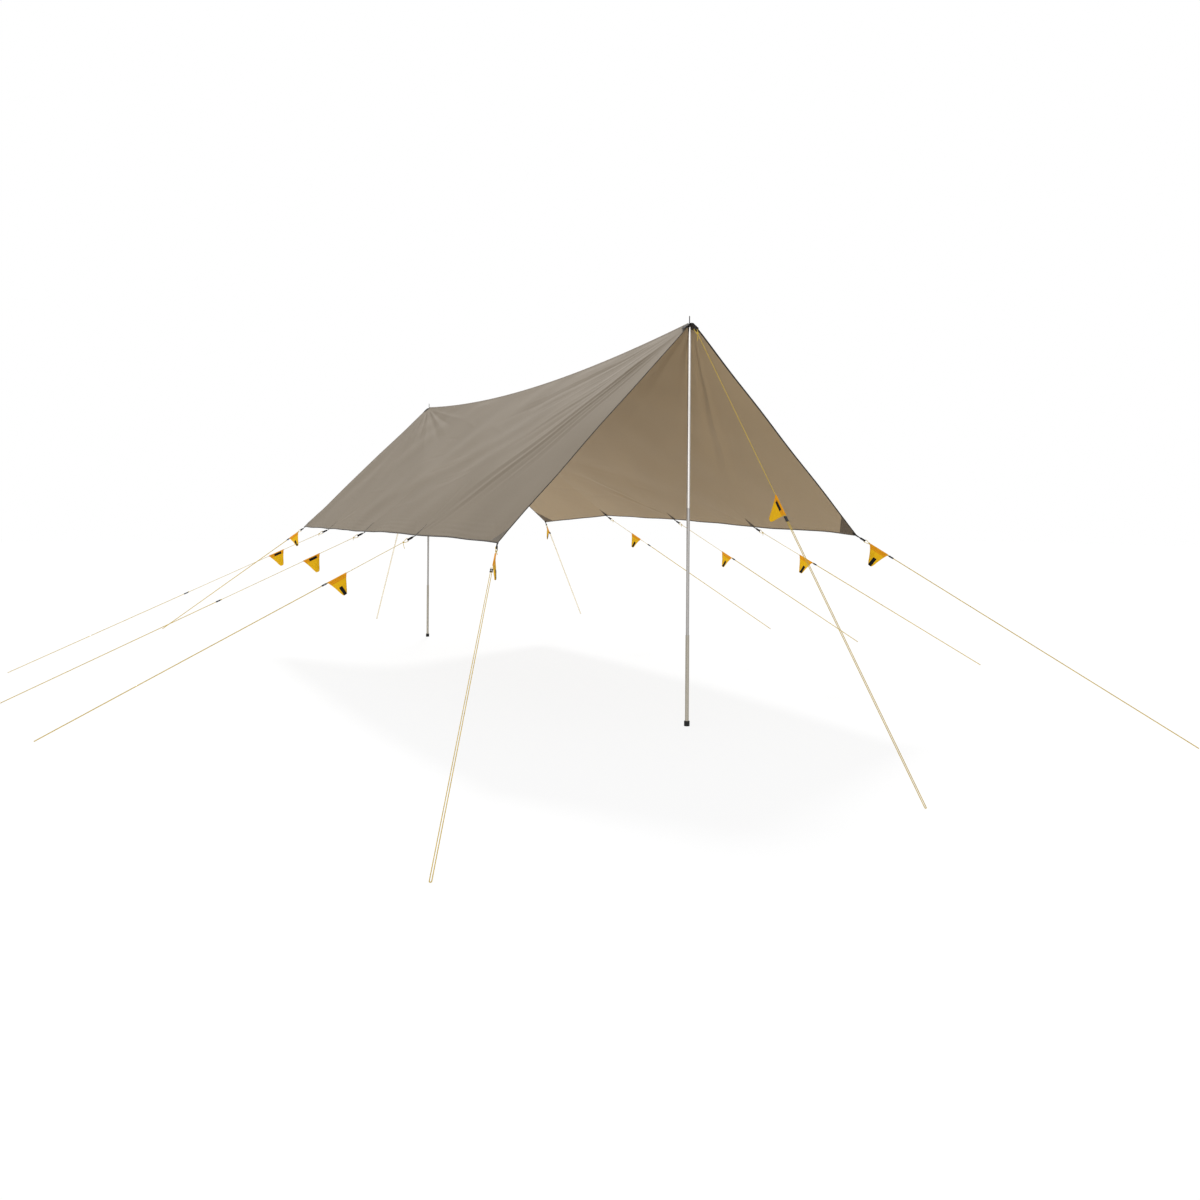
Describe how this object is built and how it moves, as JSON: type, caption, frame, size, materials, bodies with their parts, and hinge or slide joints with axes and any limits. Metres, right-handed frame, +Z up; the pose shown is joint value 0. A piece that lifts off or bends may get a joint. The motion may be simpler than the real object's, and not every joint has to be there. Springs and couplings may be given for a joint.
{
  "type": "camping tarp",
  "caption": "Ridge-pitched camping tarp on adjustable poles, held out by guy lines that carry line sliders and small storage pockets.",
  "frame": {"origin": "centre of the bounding box of canopy and poles, without the guy lines and what is on them, on the ground plane", "axes": "+Z up, +Y along the ridge from the front pole to the rear pole, +X towards the right slope"},
  "size_m": [6.4137, 8.0718, 2.0334],
  "materials": {
    "canopy_cloth": "matte",
    "binding_webbing": "matte",
    "steel_eyelet": "satin",
    "pole_tip_steel": "satin",
    "pole_aluminium": "satin",
    "foot_tube_aluminium": "satin",
    "spring_steel": "satin",
    "foot_rubber": "matte",
    "cord": "matte",
    "pocket_cloth": "matte",
    "black_plastic": "satin"
  },
  "bodies": {
    "canopy": {"left_panel": "canopy_cloth", "right_panel": "canopy_cloth", "ridge_tape": "binding_webbing", "left_edge_binding": "binding_webbing", "right_edge_binding": "binding_webbing", "front_ridge_cap": "binding_webbing", "rear_ridge_cap": "binding_webbing", "front_eyelet": "steel_eyelet", "rear_eyelet": "steel_eyelet", "front_ridge_loop": "binding_webbing", "rear_ridge_loop": "binding_webbing", "guy_line_left_front_corner": "cord", "guy_line_left_front": "cord", "guy_line_left_middle": "cord", "guy_line_left_rear": "cord", "guy_line_left_rear_corner": "cord", "guy_line_right_front_corner": "cord", "guy_line_right_front": "cord", "guy_line_right_middle": "cord", "guy_line_right_rear": "cord", "guy_line_right_rear_corner": "cord", "guy_line_front_ridge": "cord", "guy_line_rear_ridge": "cord"},
    "front_pole": {"front_pole_tip": "pole_tip_steel", "front_top_tube": "pole_aluminium", "front_middle_tube": "pole_aluminium"},
    "front_foot_tube": {"front_lower_tube": "foot_tube_aluminium", "front_foot": "foot_rubber"},
    "front_button": {"front_snap_button": "spring_steel"},
    "rear_pole": {"rear_pole_tip": "pole_tip_steel", "rear_top_tube": "pole_aluminium", "rear_middle_tube": "pole_aluminium"},
    "rear_foot_tube": {"rear_lower_tube": "foot_tube_aluminium", "rear_foot": "foot_rubber"},
    "rear_button": {"rear_snap_button": "spring_steel"},
    "pocket_on_left_front_corner": {"pocket_left_front_corner": "pocket_cloth"},
    "slider_on_left_front_corner": {"slider_left_front_corner": "black_plastic"},
    "pocket_on_left_front": {"pocket_left_front": "pocket_cloth"},
    "slider_on_left_front": {"slider_left_front": "black_plastic"},
    "pocket_on_left_middle": {"pocket_left_middle": "pocket_cloth"},
    "slider_on_left_middle": {"slider_left_middle": "black_plastic"},
    "pocket_on_left_rear": {"pocket_left_rear": "pocket_cloth"},
    "slider_on_left_rear": {"slider_left_rear": "black_plastic"},
    "pocket_on_left_rear_corner": {"pocket_left_rear_corner": "pocket_cloth"},
    "slider_on_left_rear_corner": {"slider_left_rear_corner": "black_plastic"},
    "pocket_on_right_front_corner": {"pocket_right_front_corner": "pocket_cloth"},
    "slider_on_right_front_corner": {"slider_right_front_corner": "black_plastic"},
    "pocket_on_right_front": {"pocket_right_front": "pocket_cloth"},
    "slider_on_right_front": {"slider_right_front": "black_plastic"},
    "pocket_on_right_middle": {"pocket_right_middle": "pocket_cloth"},
    "slider_on_right_middle": {"slider_right_middle": "black_plastic"},
    "pocket_on_right_rear": {"pocket_right_rear": "pocket_cloth"},
    "slider_on_right_rear": {"slider_right_rear": "black_plastic"},
    "pocket_on_right_rear_corner": {"pocket_right_rear_corner": "pocket_cloth"},
    "slider_on_right_rear_corner": {"slider_right_rear_corner": "black_plastic"},
    "pocket_on_front_ridge": {"pocket_front_ridge": "pocket_cloth"},
    "slider_on_front_ridge": {"slider_front_ridge": "black_plastic"},
    "pocket_on_rear_ridge": {"pocket_rear_ridge": "pocket_cloth"},
    "slider_on_rear_ridge": {"slider_rear_ridge": "black_plastic"}
  },
  "joints": [
    {"name": "front_pole_turn", "type": "hinge", "parent": "canopy", "child": "front_pole", "pos_m": [-0.0544, -2.25, 1.9885], "axis": [0, 0, 1], "continuous": true},
    {"name": "front_pole_length", "type": "slide", "parent": "front_pole", "child": "front_foot_tube", "axis": [0, 0, 1], "range_m": [0, 0.132], "deforming": ["front_snap_button"]},
    {"name": "front_button_press", "type": "slide", "parent": "front_pole", "child": "front_button", "axis": [0, 1, 0], "range_m": [-0.004, 0], "stiffness_N_per_m": 600, "deforming": ["front_snap_button"]},
    {"name": "rear_pole_turn", "type": "hinge", "parent": "canopy", "child": "rear_pole", "pos_m": [-0.0544, 2.25, 1.9885], "axis": [0, 0, 1], "continuous": true},
    {"name": "rear_pole_length", "type": "slide", "parent": "rear_pole", "child": "rear_foot_tube", "axis": [0, 0, 1], "range_m": [0, 0.132], "deforming": ["rear_snap_button"]},
    {"name": "rear_button_press", "type": "slide", "parent": "rear_pole", "child": "rear_button", "axis": [0, -1, 0], "range_m": [-0.004, 0], "stiffness_N_per_m": 600, "deforming": ["rear_snap_button"]},
    {"name": "pocket_swing_left_front_corner", "type": "hinge", "parent": "canopy", "child": "pocket_on_left_front_corner", "pos_m": [-1.119, -2.3856, 0.8393], "axis": [-0.3868, -0.8164, -0.4288], "continuous": true},
    {"name": "slider_slide_left_front_corner", "type": "slide", "parent": "canopy", "child": "slider_on_left_front_corner", "axis": [-0.3868, -0.8164, -0.4288], "range_m": [0, 0.3]},
    {"name": "pocket_swing_left_front", "type": "hinge", "parent": "canopy", "child": "pocket_on_left_front", "pos_m": [-1.5595, -1.195, 0.706], "axis": [-0.8844, -0.1363, -0.4465], "continuous": true},
    {"name": "slider_slide_left_front", "type": "slide", "parent": "canopy", "child": "slider_on_left_front", "axis": [-0.8844, -0.1363, -0.4465], "range_m": [0, 0.3]},
    {"name": "pocket_swing_left_middle", "type": "hinge", "parent": "canopy", "child": "pocket_on_left_middle", "pos_m": [-1.4772, -0.0336, 0.7758], "axis": [-0.9053, -0.0893, -0.4153], "continuous": true},
    {"name": "slider_slide_left_middle", "type": "slide", "parent": "canopy", "child": "slider_on_left_middle", "axis": [-0.9053, -0.0893, -0.4153], "range_m": [0, 0.3]},
    {"name": "pocket_swing_left_rear", "type": "hinge", "parent": "canopy", "child": "pocket_on_left_rear", "pos_m": [-1.5118, 1.1226, 0.7714], "axis": [-0.9103, -0.0121, -0.4139], "continuous": true},
    {"name": "slider_slide_left_rear", "type": "slide", "parent": "canopy", "child": "slider_on_left_rear", "axis": [-0.9103, -0.0121, -0.4139], "range_m": [0, 0.3]},
    {"name": "pocket_swing_left_rear_corner", "type": "hinge", "parent": "canopy", "child": "pocket_on_left_rear_corner", "pos_m": [-1.1809, 2.3597, 0.8829], "axis": [-0.4876, 0.7419, -0.4602], "continuous": true},
    {"name": "slider_slide_left_rear_corner", "type": "slide", "parent": "canopy", "child": "slider_on_left_rear_corner", "axis": [-0.4876, 0.7419, -0.4602], "range_m": [0, 0.3]},
    {"name": "pocket_swing_right_front_corner", "type": "hinge", "parent": "canopy", "child": "pocket_on_right_front_corner", "pos_m": [1.0501, -2.3601, 0.8719], "axis": [0.4368, -0.7457, -0.5031], "continuous": true},
    {"name": "slider_slide_right_front_corner", "type": "slide", "parent": "canopy", "child": "slider_on_right_front_corner", "axis": [0.4368, -0.7457, -0.5031], "range_m": [0, 0.3]},
    {"name": "pocket_swing_right_front", "type": "hinge", "parent": "canopy", "child": "pocket_on_right_front", "pos_m": [1.492, -1.1154, 0.7769], "axis": [0.8957, 0.026, -0.444], "continuous": true},
    {"name": "slider_slide_right_front", "type": "slide", "parent": "canopy", "child": "slider_on_right_front", "axis": [0.8957, 0.026, -0.444], "range_m": [0, 0.3]},
    {"name": "pocket_swing_right_middle", "type": "hinge", "parent": "canopy", "child": "pocket_on_right_middle", "pos_m": [1.6656, 0.1225, 0.7656], "axis": [0.8771, 0.2036, -0.435], "continuous": true},
    {"name": "slider_slide_right_middle", "type": "slide", "parent": "canopy", "child": "slider_on_right_middle", "axis": [0.8771, 0.2036, -0.435], "range_m": [0, 0.3]},
    {"name": "pocket_swing_right_rear", "type": "hinge", "parent": "canopy", "child": "pocket_on_right_rear", "pos_m": [1.4548, 1.2201, 0.8894], "axis": [0.859, 0.2474, -0.4483], "continuous": true},
    {"name": "slider_slide_right_rear", "type": "slide", "parent": "canopy", "child": "slider_on_right_rear", "axis": [0.859, 0.2474, -0.4483], "range_m": [0, 0.3]},
    {"name": "pocket_swing_right_rear_corner", "type": "hinge", "parent": "canopy", "child": "pocket_on_right_rear_corner", "pos_m": [1.1238, 2.3592, 0.9388], "axis": [0.4984, 0.7394, -0.4526], "continuous": true},
    {"name": "slider_slide_right_rear_corner", "type": "slide", "parent": "canopy", "child": "slider_on_right_rear_corner", "axis": [0.4984, 0.7394, -0.4526], "range_m": [0, 0.3]},
    {"name": "pocket_swing_front_ridge", "type": "hinge", "parent": "canopy", "child": "pocket_on_front_ridge", "pos_m": [-0.0544, -3.0359, 1.0853], "axis": [0, -0.6407, -0.7678], "continuous": true},
    {"name": "slider_slide_front_ridge", "type": "slide", "parent": "canopy", "child": "slider_on_front_ridge", "axis": [0, -0.6407, -0.7678], "range_m": [0, 0.3]},
    {"name": "pocket_swing_rear_ridge", "type": "hinge", "parent": "canopy", "child": "pocket_on_rear_ridge", "pos_m": [-0.0544, 3.0741, 1.1185], "axis": [0, 0.6729, -0.7397], "continuous": true},
    {"name": "slider_slide_rear_ridge", "type": "slide", "parent": "canopy", "child": "slider_on_rear_ridge", "axis": [0, 0.6729, -0.7397], "range_m": [0, 0.3]}
  ]
}
